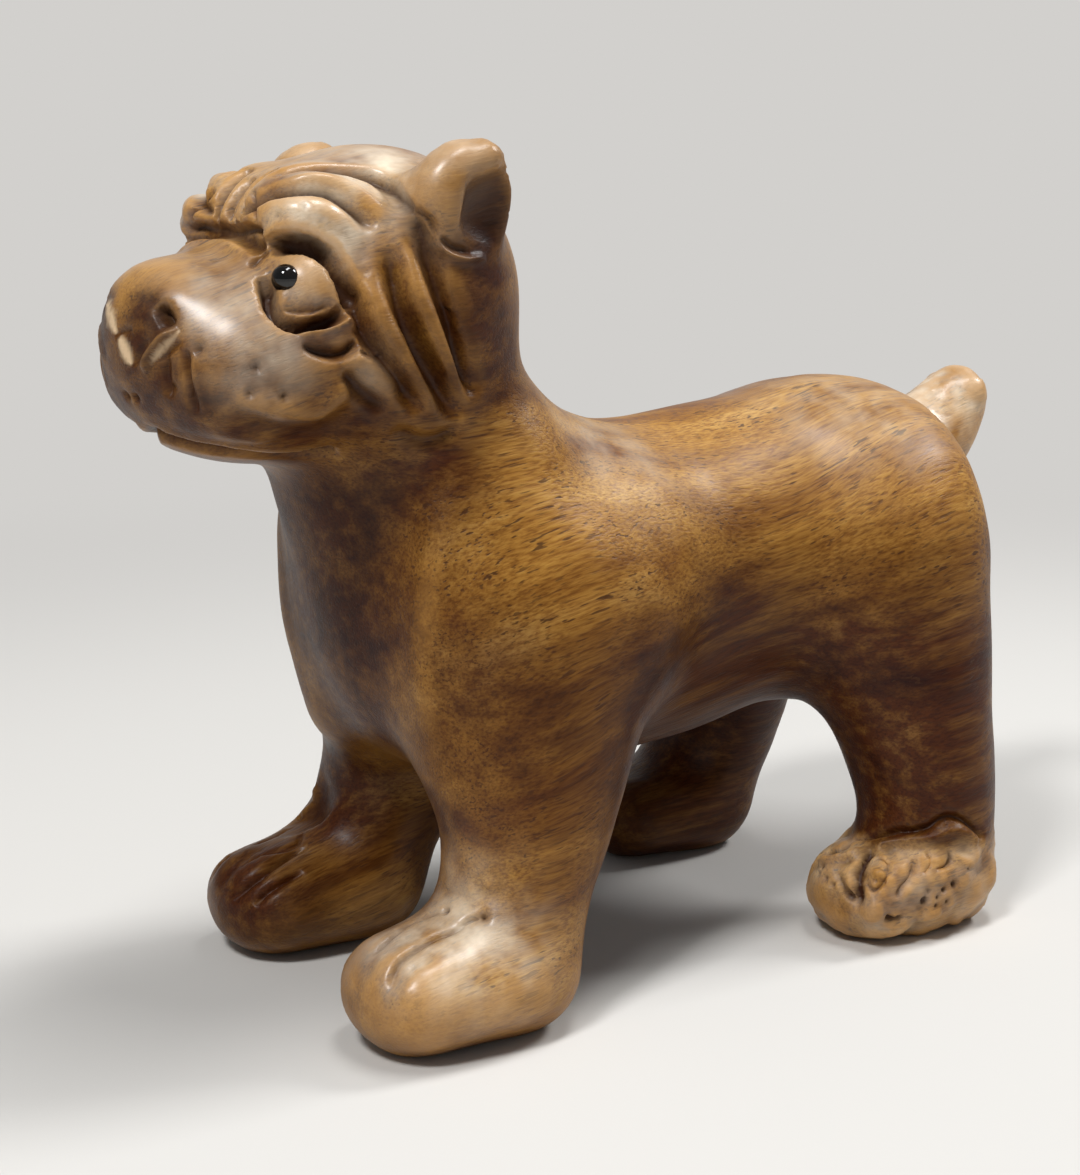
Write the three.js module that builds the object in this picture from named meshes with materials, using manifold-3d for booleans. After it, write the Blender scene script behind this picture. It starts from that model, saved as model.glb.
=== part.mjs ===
// A small standing dog carved from one block of wood, with two black eye beads set in drilled holes.
// Units are millimetres. +Z is up, the dog faces -Y, its left side is +X, and X = 0 is its middle plane.
// While it is being shaped, Y = 0 is the middle of the front paws. The finished group is moved so that
// its origin is on the ground, in the middle of the footprint.

import * as THREE from "three";
import Module from "manifold-3d";
import { mergeVertices } from "three/addons/utils/BufferGeometryUtils.js";

const wasm = await Module();
wasm.setup();

// Stance
const FRONT_STANCE = 27; // middle of the left front paw to the middle of the right one
const HIND_STANCE = 32;
const WHEELBASE = 45.7; // middle of the front paws to the middle of the hind paws
const FRONT_STEP = 2.6; // the left front paw stands this far ahead of the right one
const HIND_STEP = 2; // the right hind paw stands this far ahead of the left one

// Trunk
const WITHERS_HEIGHT = 47.6;
const RUMP_HEIGHT = 50;
const SADDLE_DIP = 1.1; // how far the back sinks behind the withers, below a straight line to the rump
const BELLY_HEIGHT = 17;
const FLANK_HEIGHT = 20.6;
const CHEST_WIDTH = 28;
const WAIST_WIDTH = 27;
const HIP_WIDTH = 31;
const CHEST_OVERHANG = 3.9; // how far the chest stands ahead of the front paws' middle
const CHEST_CORNER_SPAN = 19.4; // between the rounded corners where the chest turns into the sides
const CHEST_CORNER_WIDTH = 9;
const CHEST_CORNER_AHEAD = 1.7; // how far these corners stand ahead of the front paws' middle
const RUMP_DEPTH = 20; // of the rounded end under the tail
const RUMP_OVERHANG = 16.9; // how far the rump stands behind the hind paws' middle

// Front legs, from the shoulder down to the ankle
const SHOULDER_DEPTH = 22; // front to back
const SHOULDER_TUCK = 3.4; // how much nearer to the middle plane the leg is here than its paw
const FRONT_LEG_LEAN = 6.5; // the shoulder stands this far behind the ankle
const FRONT_LEG_WIDTH = 12.6;
const FRONT_ANKLE_SET = 4.3; // the ankle stands this far behind the middle of the paw
const RIGHT_ELBOW_SET = 1.8; // the elbow of the right front leg stands this much further back

// Hind legs, from the thigh down to the ankle
const THIGH_DEPTH = 22.4;
const THIGH_TUCK = 5;
const RIGHT_KNEE_SET = 2.8; // the knee of the right hind leg stands this much further back
const HIND_LEG_WIDTH = 12.6;
const HIND_ANKLE_SET = 4;

// Paws
const FRONT_PAW_LENGTH = 20.4;
const FRONT_PAW_WIDTH = 14.6;
const FRONT_PAW_HEIGHT = 10.5;
const HIND_PAW_LENGTH = 18.8;
const HIND_PAW_WIDTH = 13;
const HIND_PAW_HEIGHT = 9.4;

// Neck and head
const NECK_WIDTH = 24;
const NECK_DEPTH = 23.6;
const NECK_AHEAD = 1.8; // how far the neck leans ahead of the line from the chest to the head
const HEAD_AHEAD = 0.7; // the middle of the head, ahead of the front paws' middle
const HEAD_WIDTH = 25;
const HEAD_LENGTH = 25;
const HEAD_DEPTH = 23;
const CROWN_HEIGHT = 71.5;
const MUZZLE_WIDTH = 23;
const MUZZLE_LENGTH = 24;
const MUZZLE_DEPTH = 16.5;
const NOSE_REACH = 22.5; // the tip of the nose, ahead of the middle of the head
const MUZZLE_DROP = 7.5; // the bridge of the nose, below the crown
const NOSE_WIDTH = 12;
const NOSE_DEPTH = 7.5;
const NOSE_LENGTH = 8;
const LIP_DEPTH = 12;
const LIP_DROP = 23.3; // the lower edge of the lips, below the crown
const CHIN_WIDTH = 17;
const CHIN_DEPTH = 9;
const CHIN_DROP = 25.2;
const BROW_WIDTH = 10;
const BROW_DEPTH = 6;
const BROW_SPAN = 9.6; // middle of the left brow to the middle of the right one

// Ears and tail
const EAR_HEIGHT = 10;
const EAR_LENGTH = 10;
const EAR_THICKNESS = 6.5;
const EAR_SPAN = 22;
const EAR_SET_BACK = 2.1; // behind the middle of the head
const TAIL_WIDTH = 9.4;
const TAIL_LENGTH = 10.8; // behind the rump
const TAIL_HEIGHT = 50.2; // the top of its end
const TAIL_RISE = 8.5; // how much higher the tail ends than it starts

// Eyes
const EYE_SPAN = 15.4;
const EYE_DROP = 11.3;
const EYE_AHEAD = 10.1;
const EYEBALL_DIAMETER = 7;
const BEAD_DIAMETER = 2.2;
const BEAD_STANDS_OUT = 0.7;
const SHANK_DIAMETER = 1.1;
const SHANK_LENGTH = 2.5;
const BEAD_CLEARANCE = 0.3;

// The carver's lines
const FOLD_WIDTH = 1.5;
const LID_WIDTH = 1.8;
const MOUTH_WIDTH = 1.4;
const TOE_LINE_WIDTH = 1.3;

// How softly neighbouring forms flow into each other
const TRUNK_BLEND = 7;
const LEG_BLEND = 5;
const PAW_BLEND = 3;
const HEAD_BLEND = 3;
const EAR_BLEND = 1.6;
const EYE_BLEND = 0.4;

// The surface is read off a grid that is finest round the face.
const FACE_CELL = 1.6;
const BODY_CELL = 3.4;
const SIDE_CELL = 2;
const PAW_CELL = 2.3;
const GROOVE_STEP = 2.4;

const v = (x, y, z) => new THREE.Vector3(x, y, z);

// A form is a function of a point: negative inside, zero on its surface, positive outside. Near the
// surface its value is about the distance in millimetres.
function ellipsoid(centre, radii, turn = new THREE.Euler()) {
  const back = new THREE.Quaternion().setFromEuler(turn).invert();
  const p = v(0, 0, 0);
  return (x, y, z) => {
    p.set(x, y, z).sub(centre).applyQuaternion(back);
    return offOval(p.x, p.y, p.z, radii.x, radii.y, radii.z);
  };
}

function offOval(x, y, z, a, b, c) {
  const near = Math.hypot(x / a, y / b, z / c);
  const slope = Math.hypot(x / (a * a), y / (b * b), z / (c * c));
  return slope > 0 ? (near * (near - 1)) / slope : -Math.min(a, b, c);
}

// A limb follows a smooth curve through its stations. At each one its section is an oval: `side` is its
// radius along X and `deep` its radius across the curve. The ends are rounded.
function limb(stations) {
  const stepsPerSpan = 6;
  const count = (stations.length - 1) * stepsPerSpan;
  const along = (points) => new THREE.CatmullRomCurve3(points).getPoints(count);
  const line = along(stations.map((s) => s.at));
  const ovals = along(stations.map((s) => v(s.side, s.deep, 0)));
  return (x, y, z) => {
    let best = { near: Infinity };
    for (let i = 0; i < count; i++) {
      const a = line[i];
      const b = line[i + 1];
      const [dx, dy, dz] = [b.x - a.x, b.y - a.y, b.z - a.z];
      const share = ((x - a.x) * dx + (y - a.y) * dy + (z - a.z) * dz) / (dx * dx + dy * dy + dz * dz);
      const t = Math.min(1, Math.max(0, share));
      const aside = x - a.x - t * dx;
      const off = Math.hypot(y - a.y - t * dy, z - a.z - t * dz);
      const side = ovals[i].x + t * (ovals[i + 1].x - ovals[i].x);
      const deep = ovals[i].y + t * (ovals[i + 1].y - ovals[i].y);
      const near = Math.hypot(aside / side, off / deep);
      if (near < best.near) best = { near, aside, off, side, deep };
    }
    return offOval(best.aside, best.off, 0, best.side, best.deep, best.deep);
  };
}

const joined = (a, b, blend) => {
  const overlap = Math.max(blend - Math.abs(a - b), 0) / blend;
  return Math.min(a, b) - (overlap * overlap * blend) / 4;
};
const hollowed = (a, b, blend) => -joined(-a, b, blend);

// The same form on both sides of the middle plane.
const bothSides = (form) => (x, y, z) => form(Math.abs(x), y, z);

function trunk() {
  const chestRadius = (WITHERS_HEIGHT - BELLY_HEIGHT) / 2;
  const front = chestRadius - CHEST_OVERHANG;
  const back = WHEELBASE + RUMP_OVERHANG - RUMP_DEPTH / 2;
  const station = (share, dip, bottom, width) => {
    const top = WITHERS_HEIGHT + share * (RUMP_HEIGHT - WITHERS_HEIGHT) - dip * SADDLE_DIP;
    return {
      at: v(0, front + share * (back - front), (top + bottom) / 2),
      side: width / 2,
      deep: (top - bottom) / 2,
    };
  };
  return limb([
    station(0, 0, BELLY_HEIGHT, CHEST_WIDTH),
    station(0.38, 1, BELLY_HEIGHT + 0.15 * (FLANK_HEIGHT - BELLY_HEIGHT), 0.5 * (CHEST_WIDTH + WAIST_WIDTH)),
    station(0.62, 0.7, BELLY_HEIGHT + 0.6 * (FLANK_HEIGHT - BELLY_HEIGHT), WAIST_WIDTH),
    station(0.85, 0, FLANK_HEIGHT, HIP_WIDTH),
    station(1, 0, RUMP_HEIGHT - RUMP_DEPTH, HIP_WIDTH),
  ]);
}

// The chest is square in front: a rounded corner runs down each side of it, from the neck to the leg.
function chestCorner() {
  const r = CHEST_CORNER_WIDTH / 2;
  const x = CHEST_CORNER_SPAN / 2;
  const y = r - CHEST_CORNER_AHEAD;
  return limb([
    { at: v(0.9 * x, y + r, 0.96 * WITHERS_HEIGHT), side: 0.7 * r, deep: 0.7 * r },
    { at: v(x, y, 0.8 * WITHERS_HEIGHT), side: r, deep: r },
    { at: v(x, y + 0.2 * r, 0.5 * WITHERS_HEIGHT), side: r, deep: r },
  ]);
}

// The legs lean. `side` is 1 for the left leg and -1 for the right one.
function frontLeg(side) {
  const foot = FRONT_STANCE / 2;
  const ankle = FRONT_ANKLE_SET - (side * FRONT_STEP) / 2;
  const set = side < 0 ? RIGHT_ELBOW_SET : 0;
  const r = FRONT_LEG_WIDTH / 2;
  const deep = SHOULDER_DEPTH / 2;
  const station = (height, tuck, lean, width, depth) => ({
    at: v(side * (foot - tuck * SHOULDER_TUCK), ankle + lean, height * WITHERS_HEIGHT),
    side: width,
    deep: depth,
  });
  return limb([
    station(0.66, 1, FRONT_LEG_LEAN + 0.5 * set, 1.3 * r, deep),
    station(0.43, 0.5, 0.7 * FRONT_LEG_LEAN + set, 1.14 * r, 0.77 * deep),
    station(0.28, 0.17, 0.38 * FRONT_LEG_LEAN + 0.7 * set, 1.02 * r, 1.06 * r),
    station(0.13, 0, 0, r, 0.88 * r),
  ]);
}

function hindLeg(side) {
  const foot = HIND_STANCE / 2;
  const ankle = WHEELBASE + HIND_ANKLE_SET + (side * HIND_STEP) / 2;
  const set = side < 0 ? RIGHT_KNEE_SET : 0;
  const r = HIND_LEG_WIDTH / 2;
  const deep = THIGH_DEPTH / 2;
  const station = (height, tuck, back, width, depth) => ({
    at: v(side * (foot - tuck * THIGH_TUCK), ankle + back, height * RUMP_HEIGHT),
    side: width,
    deep: depth,
  });
  return limb([
    station(0.64, 1, 0.5 * set - 0.13 * deep, 1.36 * r, deep),
    station(0.36, 0.4, set, 1.13 * r, 0.66 * deep),
    station(0.22, 0.15, 0.6 * set + 0.1 * r, r, 1.03 * r),
    station(0.1, 0, 0, 0.94 * r, 0.9 * r),
  ]);
}

// A paw is a rounded slab. Its underside reaches a little below the ground, which cuts it off flat.
function paw(x, y, length, width, height) {
  const h = height / 2;
  const w = width / 2;
  const reach = length / 2 - h;
  return limb([
    { at: v(x, y + reach, 0.9 * h), side: 0.89 * w, deep: h },
    { at: v(x, y, 0.94 * h), side: w, deep: h },
    { at: v(x, y - reach, 0.89 * h), side: 0.92 * w, deep: 0.94 * h },
  ]);
}

function neck() {
  const w = NECK_WIDTH / 2;
  const d = NECK_DEPTH / 2;
  const chest = (WITHERS_HEIGHT - BELLY_HEIGHT) / 2 - CHEST_OVERHANG;
  const root = v(0, chest, 0.73 * WITHERS_HEIGHT);
  const top = v(0, -HEAD_AHEAD, CROWN_HEIGHT - 0.63 * HEAD_DEPTH);
  return limb([
    { at: root, side: 1.08 * w, deep: 1.08 * d },
    { at: root.clone().lerp(top, 0.5).sub(v(0, NECK_AHEAD, 0)), side: w, deep: d },
    { at: top, side: 0.96 * w, deep: 0.86 * d },
  ]);
}

// The forms of the head are placed from the top of its middle: X across, -Y ahead, -Z below the crown.
function headForm() {
  const cranium = ellipsoid(
    v(0, 0, -HEAD_DEPTH / 2),
    v(HEAD_WIDTH / 2, HEAD_LENGTH / 2, HEAD_DEPTH / 2),
  );
  const cheeks = bothSides(
    ellipsoid(
      v(0.34 * HEAD_WIDTH, -0.14 * HEAD_LENGTH, -0.72 * HEAD_DEPTH),
      v(0.18 * HEAD_WIDTH, 0.3 * HEAD_LENGTH, 0.3 * HEAD_DEPTH),
    ),
  );
  const muzzle = ellipsoid(
    v(0, MUZZLE_LENGTH / 2 - NOSE_REACH, -MUZZLE_DROP - MUZZLE_DEPTH / 2),
    v(MUZZLE_WIDTH / 2, MUZZLE_LENGTH / 2, MUZZLE_DEPTH / 2),
  );
  const nose = ellipsoid(
    v(0, 0.54 * NOSE_LENGTH - NOSE_REACH, -MUZZLE_DROP - 0.68 * NOSE_DEPTH),
    v(NOSE_WIDTH / 2, NOSE_LENGTH / 2, NOSE_DEPTH / 2),
    new THREE.Euler(0.35, 0, 0),
  );
  // The upper lips hang down on both sides of the nose, and the chin stands back under them.
  const lips = bothSides(
    ellipsoid(
      v(0.25 * MUZZLE_WIDTH, 0.435 * MUZZLE_LENGTH - NOSE_REACH, LIP_DEPTH / 2 - LIP_DROP),
      v(0.28 * MUZZLE_WIDTH, 0.36 * MUZZLE_LENGTH, LIP_DEPTH / 2),
      new THREE.Euler(0.1, 0, -0.12),
    ),
  );
  const chin = ellipsoid(
    v(0, 0.55 * MUZZLE_LENGTH - NOSE_REACH, CHIN_DEPTH / 2 - CHIN_DROP),
    v(CHIN_WIDTH / 2, 0.46 * MUZZLE_LENGTH, CHIN_DEPTH / 2),
  );
  const brows = bothSides(
    ellipsoid(
      v(BROW_SPAN / 2, -0.37 * HEAD_LENGTH, -0.23 * HEAD_DEPTH),
      v(BROW_WIDTH / 2, 0.42 * BROW_WIDTH, BROW_DEPTH / 2),
      new THREE.Euler(0.5, 0.2, -0.1),
    ),
  );
  const earTurn = new THREE.Euler(-0.3, 0.2, 0);
  const ears = bothSides(
    ellipsoid(
      v(EAR_SPAN / 2, EAR_SET_BACK, -0.45 * EAR_HEIGHT),
      v(EAR_THICKNESS / 2, EAR_LENGTH / 2, EAR_HEIGHT / 2),
      earTurn,
    ),
  );
  // Each ear is cupped: hollowed from outside, a little behind its middle.
  const cups = bothSides(
    ellipsoid(
      v(EAR_SPAN / 2 + 0.49 * EAR_THICKNESS, EAR_SET_BACK + 0.2 * EAR_LENGTH, -0.54 * EAR_HEIGHT),
      v(0.37 * EAR_THICKNESS, 0.34 * EAR_LENGTH, 0.38 * EAR_HEIGHT),
      earTurn,
    ),
  );
  return (x, y, z) => {
    let d = joined(cranium(x, y, z), muzzle(x, y, z), HEAD_BLEND);
    d = joined(d, cheeks(x, y, z), HEAD_BLEND);
    d = joined(d, nose(x, y, z), EAR_BLEND);
    d = joined(d, lips(x, y, z), EAR_BLEND);
    d = joined(d, chin(x, y, z), EAR_BLEND);
    d = joined(d, brows(x, y, z), HEAD_BLEND);
    d = joined(d, ears(x, y, z), EAR_BLEND);
    return hollowed(d, cups(x, y, z), EAR_BLEND);
  };
}

function tail() {
  const r = TAIL_WIDTH / 2;
  const tipRadius = 0.76 * r;
  const rump = WHEELBASE + RUMP_OVERHANG;
  const tip = TAIL_HEIGHT - tipRadius;
  return limb([
    { at: v(0, rump - 0.4 * r, tip - TAIL_RISE), side: 1.1 * r, deep: 1.1 * r },
    { at: v(0, rump + 0.65 * r, tip - 0.46 * TAIL_RISE), side: r, deep: r },
    { at: v(0, rump + TAIL_LENGTH - tipRadius, tip), side: tipRadius, deep: tipRadius },
  ]);
}

const eyeCentre = (side) => v((side * EYE_SPAN) / 2, -HEAD_AHEAD - EYE_AHEAD, CROWN_HEIGHT - EYE_DROP);

function carvedForm() {
  const body = trunk();
  const neckForm = neck();
  const corners = bothSides(chestCorner());
  const legs = [1, -1].flatMap((side) => [frontLeg(side), hindLeg(side)]);
  const paws = pawPlaces().map((p) => paw(p.x, p.y, p.length, p.width, p.height));
  const tailForm = tail();
  const head = headForm();
  const eyeRadius = EYEBALL_DIAMETER / 2;
  const eyeballs = bothSides(ellipsoid(eyeCentre(1), v(eyeRadius, eyeRadius, eyeRadius)));
  return (x, y, z) => {
    let d = joined(body(x, y, z), neckForm(x, y, z), TRUNK_BLEND);
    d = joined(d, corners(x, y, z), LEG_BLEND);
    for (const leg of legs) d = joined(d, leg(x, y, z), LEG_BLEND);
    for (const foot of paws) d = joined(d, foot(x, y, z), PAW_BLEND);
    d = joined(d, tailForm(x, y, z), PAW_BLEND);
    d = joined(d, head(x, y + HEAD_AHEAD, z - CROWN_HEIGHT), HEAD_BLEND);
    return joined(d, eyeballs(x, y, z), EYE_BLEND);
  };
}

function pawPlaces() {
  return [1, -1].flatMap((side) => [
    {
      side,
      x: (side * FRONT_STANCE) / 2,
      y: (-side * FRONT_STEP) / 2,
      length: FRONT_PAW_LENGTH,
      width: FRONT_PAW_WIDTH,
      height: FRONT_PAW_HEIGHT,
    },
    {
      side,
      x: (side * HIND_STANCE) / 2,
      y: WHEELBASE + (side * HIND_STEP) / 2,
      length: HIND_PAW_LENGTH,
      width: HIND_PAW_WIDTH,
      height: HIND_PAW_HEIGHT,
    },
  ]);
}

// Which way, and how fast, a form rises at a point.
function slopeOf(form, p) {
  const step = EYE_BLEND / 8;
  return v(
    form(p.x + step, p.y, p.z) - form(p.x - step, p.y, p.z),
    form(p.x, p.y + step, p.z) - form(p.x, p.y - step, p.z),
    form(p.x, p.y, p.z + step) - form(p.x, p.y, p.z - step),
  ).divideScalar(2 * step);
}

// Grid lines from `start` on. Each stretch is [its end, how far apart its lines are].
function gridLines(start, stretches) {
  const lines = [start];
  for (const [end, cell] of stretches) {
    const from = lines[lines.length - 1];
    const count = Math.max(1, Math.round((end - from) / cell));
    for (let i = 1; i <= count; i++) lines.push(from + ((end - from) * i) / count);
  }
  return lines;
}

// The twelve edges of a grid cell: the axis each runs along, the corner it starts from, and the cell's
// place among the four cells round that edge, counted anticlockwise about the axis.
const CELL_EDGES = [0, 1, 2].flatMap((axis) =>
  [[1, 1], [0, 1], [0, 0], [1, 0]].map(([u, w], place) => {
    const start = [0, 0, 0];
    start[(axis + 1) % 3] = u;
    start[(axis + 2) % 3] = w;
    const end = [...start];
    end[axis] = 1;
    return { axis, start, end, place };
  }),
);

// The crossed edges of one cell, in closed loops. Each loop is one sheet of the surface. Edges are linked
// through the cell's faces, and where a face has four of them, each links to the one round its inside corner.
function sheets(crossed) {
  const loop = crossed.map((_, n) => n);
  const link = (m, n) => {
    const [from, to] = [loop[n], loop[m]];
    loop.forEach((label, i) => {
      if (label === from) loop[i] = to;
    });
  };
  for (const axis of [0, 1, 2])
    for (const side of [0, 1]) {
      const onFace = crossed.map((_, n) => n).filter((n) => {
        const edge = crossed[n].edge;
        return edge.axis !== axis && edge.start[axis] === side;
      });
      for (const m of onFace)
        for (const n of onFace) {
          if (n > m && (onFace.length === 2 || crossed[m].inside === crossed[n].inside)) link(m, n);
        }
    }
  return [...new Set(loop)].map((label) => crossed.filter((_, n) => loop[n] === label));
}

// Turns a form into a closed mesh: one vertex for each sheet of surface in a grid cell, moved onto the
// surface, and two triangles across each grid edge that it crosses. The form stands on the second level
// of grid lines, which cuts it off flat.
function surfaceOf(form, xs, ys, zs) {
  const [nx, ny, nz] = [xs.length, ys.length, zs.length];
  const at = (i, j, k) => (i * ny + j) * nz + k;
  const value = new Float64Array(nx * ny * nz);
  for (let i = 0; i < nx; i++)
    for (let j = 0; j < ny; j++)
      for (let k = 0; k < nz; k++) value[at(i, j, k)] = k > 0 ? form(xs[i], ys[j], zs[k]) : 1;

  // A vertex stays inside its cell, so that neighbouring faces never fold over each other.
  const margin = 0.04;
  const onSurface = (p, low, high) => {
    for (let pass = 0; pass < 3; pass++) {
      const slope = slopeOf(form, p);
      p.addScaledVector(slope, -form(p.x, p.y, p.z) / Math.max(slope.lengthSq(), 0.2));
      p.clamp(low, high);
    }
  };

  const points = [];
  const rings = new Map();
  const visit = (i, j, k) => {
    const crossed = [];
    for (const edge of CELL_EDGES) {
      const start = at(i + edge.start[0], j + edge.start[1], k + edge.start[2]);
      const end = at(i + edge.end[0], j + edge.end[1], k + edge.end[2]);
      const startIn = value[start] < 0;
      if (startIn === value[end] < 0) continue;
      const spot = v(xs[i + edge.start[0]], ys[j + edge.start[1]], zs[k + edge.start[2]]);
      const far = v(xs[i + edge.end[0]], ys[j + edge.end[1]], zs[k + edge.end[2]]);
      spot.lerp(far, value[start] / (value[start] - value[end]));
      crossed.push({ edge, start, startIn, inside: startIn ? start : end, spot });
    }
    if (!crossed.length) return;
    const low = v(xs[i], ys[j], zs[k]);
    const high = v(xs[i + 1], ys[j + 1], zs[k + 1]);
    const inset = high.clone().sub(low).multiplyScalar(margin);
    low.add(inset);
    high.sub(inset);
    for (const sheet of sheets(crossed)) {
      const rim = sheet.filter((c) => k === 0 && c.edge.axis !== 2);
      const used = rim.length ? rim : sheet;
      const p = v(0, 0, 0);
      used.forEach((c) => p.add(c.spot));
      p.divideScalar(used.length);
      if (k === 0) p.z = zs[1];
      else onSurface(p, low, high);
      for (const c of sheet) {
        const key = 3 * c.start + c.edge.axis;
        if (!rings.has(key)) rings.set(key, { startIn: c.startIn, ring: [] });
        rings.get(key).ring[c.edge.place] = points.length;
      }
      points.push(p);
    }
  };
  for (let i = 0; i < nx - 1; i++)
    for (let j = 0; j < ny - 1; j++) for (let k = 0; k < nz - 1; k++) visit(i, j, k);

  const faces = [];
  for (const { startIn, ring } of rings.values()) {
    const q = startIn ? ring : [...ring].reverse();
    const [p0, p1, p2, p3] = q.map((n) => points[n]);
    if (p0.distanceTo(p2) < p1.distanceTo(p3)) faces.push(q[0], q[1], q[2], q[0], q[2], q[3]);
    else faces.push(q[1], q[2], q[3], q[1], q[3], q[0]);
  }
  const geometry = new THREE.BufferGeometry();
  const flat = points.flatMap((p) => [p.x, p.y, p.z]);
  geometry.setAttribute("position", new THREE.Float32BufferAttribute(flat, 3));
  geometry.setIndex(faces);
  return geometry;
}

// three.js geometry to a manifold-3d solid and back, for the cuts.
function toSolid(geometry) {
  const bare = geometry.clone();
  bare.deleteAttribute("normal");
  bare.deleteAttribute("uv");
  const merged = mergeVertices(bare, 1e-4);
  return new wasm.Manifold(
    new wasm.Mesh({
      numProp: 3,
      vertProperties: merged.attributes.position.array,
      triVerts: new Uint32Array(merged.index.array),
    }),
  );
}

function toGeometry(solid) {
  const mesh = solid.getMesh();
  const geometry = new THREE.BufferGeometry();
  geometry.setAttribute("position", new THREE.BufferAttribute(mesh.vertProperties, 3));
  geometry.setIndex(new THREE.BufferAttribute(mesh.triVerts, 1));
  geometry.computeVertexNormals();
  return geometry;
}

// The carver's lines are round-bottomed grooves along the surface. Each goes through a few rough points,
// which are moved onto the surface. It runs out at its ends, where its path rises.
function groove(form, points, width) {
  const path = points.map((rough, i) => {
    const p = rough.clone();
    const out = v(0, 0, 0);
    for (let pass = 0; pass < 8; pass++) {
      out.copy(slopeOf(form, p)).normalize();
      p.addScaledVector(out, -form(p.x, p.y, p.z));
    }
    const isEnd = i === 0 || i === points.length - 1;
    return p.addScaledVector(out, (isEnd ? 0.6 : 0.1) * width);
  });
  const sides = 5;
  const section = new THREE.Shape(
    Array.from({ length: sides }, (_, i) => {
      const angle = (2 * Math.PI * (i + 0.5)) / sides;
      return new THREE.Vector2((width / 2) * Math.cos(angle), (width / 2) * Math.sin(angle));
    }),
  );
  const extrudePath = new THREE.CatmullRomCurve3(path);
  const steps = Math.max(5, Math.round(extrudePath.getLength() / GROOVE_STEP));
  return new THREE.ExtrudeGeometry(section, { steps, bevelEnabled: false, extrudePath });
}

// Points for the lines of the face, as shares of half the head's width, half its length and its depth:
// across from the middle plane, ahead of the middle of the head, and below the crown.
const onHead = (across, ahead, below) =>
  v(
    (across * HEAD_WIDTH) / 2,
    (-ahead * HEAD_LENGTH) / 2 - HEAD_AHEAD,
    CROWN_HEIGHT - below * HEAD_DEPTH,
  );

function faceLines() {
  const line = (width, ...places) => ({ width, points: places.map((place) => onHead(...place)) });
  const left = [
    // The deep crease under the overhanging upper lid, and the shallower one under the eye
    line(LID_WIDTH, [0.56, 1.02, 0.31], [0.68, 0.93, 0.29], [0.8, 0.75, 0.37], [0.93, 0.69, 0.54]),
    line(FOLD_WIDTH, [0.76, 1.13, 0.51], [0.9, 1.05, 0.59], [0.93, 0.87, 0.59], [0.94, 0.7, 0.56]),
    // The bag under the eye
    line(FOLD_WIDTH, [0.94, 1.02, 0.63], [0.98, 0.85, 0.67], [1, 0.66, 0.66]),
    // Three folds from the side of the head down to the throat
    line(FOLD_WIDTH, [0.84, 0.7, 0.43], [0.91, 0.67, 0.51], [1.02, 0.58, 0.66], [1.03, 0.37, 0.8]),
    line(FOLD_WIDTH, [0.97, 0.42, 0.47], [1.06, 0.3, 0.61], [1.06, 0.18, 0.75], [0.98, 0.02, 0.9]),
    line(FOLD_WIDTH, [0.94, 0.2, 0.32], [1.03, 0.13, 0.5], [1.05, 0, 0.7], [0.98, -0.19, 0.84]),
    // Two folds over the brow
    line(FOLD_WIDTH, [0.26, 1.02, 0.2], [0.55, 0.91, 0.165], [0.67, 0.73, 0.157], [0.79, 0.45, 0.29]),
    line(FOLD_WIDTH, [0.23, 0.81, 0.1], [0.42, 0.66, 0.08], [0.6, 0.3, 0.1], [0.9, 0.2, 0.24]),
    // The crease beside the nose
    line(FOLD_WIDTH, [0.52, 1.64, 0.62], [0.5, 1.66, 0.76], [0.46, 1.61, 0.87]),
  ];
  // The left halves of the stop and of the mouth start on the middle plane.
  const halves = [
    line(FOLD_WIDTH, [0, 1.06, 0.287], [0.3, 1.08, 0.296], [0.54, 1.04, 0.34]),
    line(MOUTH_WIDTH, [0, 1.64, 0.91], [0.4, 1.48, 0.97], [0.64, 1.12, 1], [0.76, 0.77, 1]),
  ];
  const mirror = (points) => points.map((p) => p.clone().multiply(v(-1, 1, 1)));
  const right = left.map(({ width, points }) => ({ width, points: mirror(points) }));
  const across = halves.map(({ width, points }) => ({
    width,
    points: [...mirror(points.slice(1).reverse()), ...points],
  }));
  return [...left, ...right, ...across];
}

function toeLines() {
  return pawPlaces().flatMap(({ side, x, y, length, width, height }) =>
    [0, 0.45].map((aside) => ({
      width: TOE_LINE_WIDTH,
      points: [[0.2, 1], [0.5, 0.9], [0.85, 0.7], [1, 0.45]].map(([ahead, up]) =>
        v(x + (side * aside * width) / 2, y - (ahead * length) / 2, up * height),
      ),
    })),
  );
}

// A bead is a ball with a shank. Its profile is turned about Y, and +Y is then turned onto its axis.
// The drilled hole is the same shape, larger by the clearance.
function beadGeometry(side, clearance) {
  const ballRadius = BEAD_DIAMETER / 2 + clearance;
  const shankRadius = SHANK_DIAMETER / 2 + clearance;
  const shankEnd = -SHANK_LENGTH - clearance;
  const neckAngle = Math.acos(shankRadius / ballRadius);
  const arcSteps = 6;
  const profile = [new THREE.Vector2(0, shankEnd), new THREE.Vector2(shankRadius, shankEnd)];
  for (let i = 0; i < arcSteps; i++) {
    const angle = -neckAngle + ((Math.PI / 2 + neckAngle) * i) / arcSteps;
    profile.push(new THREE.Vector2(ballRadius * Math.cos(angle), ballRadius * Math.sin(angle)));
  }
  profile.push(new THREE.Vector2(0, ballRadius));
  const out = v(0.41 * side, -0.83, 0.37).normalize();
  const turn = new THREE.Quaternion().setFromUnitVectors(v(0, 1, 0), out);
  const beadFromEye = EYEBALL_DIAMETER / 2 + BEAD_STANDS_OUT - BEAD_DIAMETER / 2;
  const centre = eyeCentre(side).addScaledVector(out, beadFromEye);
  return new THREE.LatheGeometry(profile, 16)
    .applyQuaternion(turn)
    .translate(centre.x, centre.y, centre.z);
}

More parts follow.
